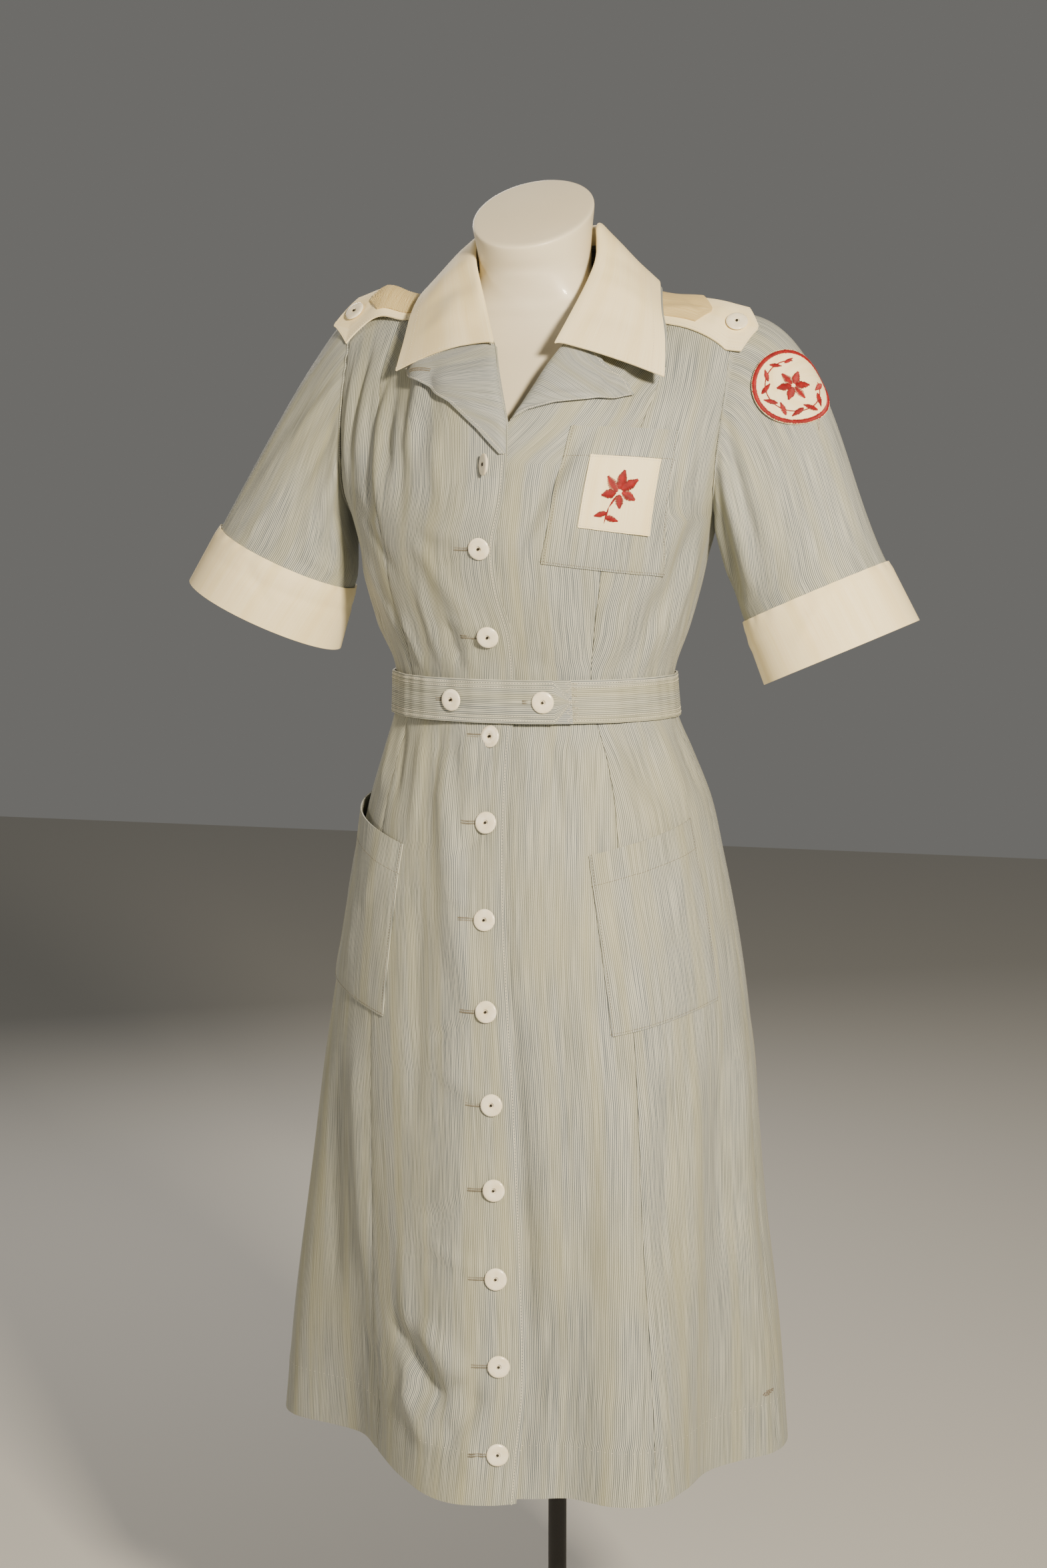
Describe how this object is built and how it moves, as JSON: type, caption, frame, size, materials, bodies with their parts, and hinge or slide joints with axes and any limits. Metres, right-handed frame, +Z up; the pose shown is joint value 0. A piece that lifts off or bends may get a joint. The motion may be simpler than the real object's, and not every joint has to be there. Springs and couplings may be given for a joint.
{
  "type": "nurse uniform dress on dress form",
  "caption": "Short-sleeved shirtwaist dress with white collar and cuffs, belt, patch pockets and button front, on a limbless dress form with a pole stand",
  "frame": {"origin": "on the floor, on the underside of the stand's base, in the dress's own middle plane", "axes": "+Z up, the front of the dress faces -Y, the wearer's left is +X"},
  "size_m": [0.6658, 0.4274, 1.4702],
  "materials": {
    "striped_cotton": "fine grey and white cord stripe",
    "white_cotton": "ivory plain weave",
    "ribbed_tape": "beige ribbed tape",
    "pearl_button": "polished cream",
    "enamelled_form": "satin cream",
    "black_steel": "satin black"
  },
  "bodies": {
    "root": {"front_right": "striped_cotton", "front_left": "striped_cotton", "side_front_right": "striped_cotton", "side_front_left": "striped_cotton", "side_back_right": "striped_cotton", "side_back_left": "striped_cotton", "back_centre": "striped_cotton", "sleeve_right": "striped_cotton", "sleeve_left": "striped_cotton", "collar": "striped_cotton", "lapel_right": "striped_cotton", "lapel_left": "striped_cotton", "belt": "striped_cotton", "pocket_chest": "striped_cotton", "pocket_skirt_right": "striped_cotton", "pocket_skirt_left": "striped_cotton", "cuff_right": "white_cotton", "cuff_left": "white_cotton", "collar_cover": "white_cotton", "strap_right": "white_cotton", "strap_left": "white_cotton", "chest_patch": "white_cotton", "sleeve_badge": "white_cotton", "strap_tape_right": "ribbed_tape", "strap_tape_left": "ribbed_tape", "button_front_01": "pearl_button", "button_front_02": "pearl_button", "button_front_03": "pearl_button", "button_front_04": "pearl_button", "button_front_05": "pearl_button", "button_front_06": "pearl_button", "button_front_07": "pearl_button", "button_front_08": "pearl_button", "button_front_09": "pearl_button", "button_front_10": "pearl_button", "button_front_11": "pearl_button", "button_front_12": "pearl_button", "button_belt_1": "pearl_button", "button_belt_2": "pearl_button", "button_strap_right": "pearl_button", "button_strap_left": "pearl_button", "dress_form": "enamelled_form", "stand_base": "black_steel", "stand_pole": "black_steel"}
  },
  "joints": []
}
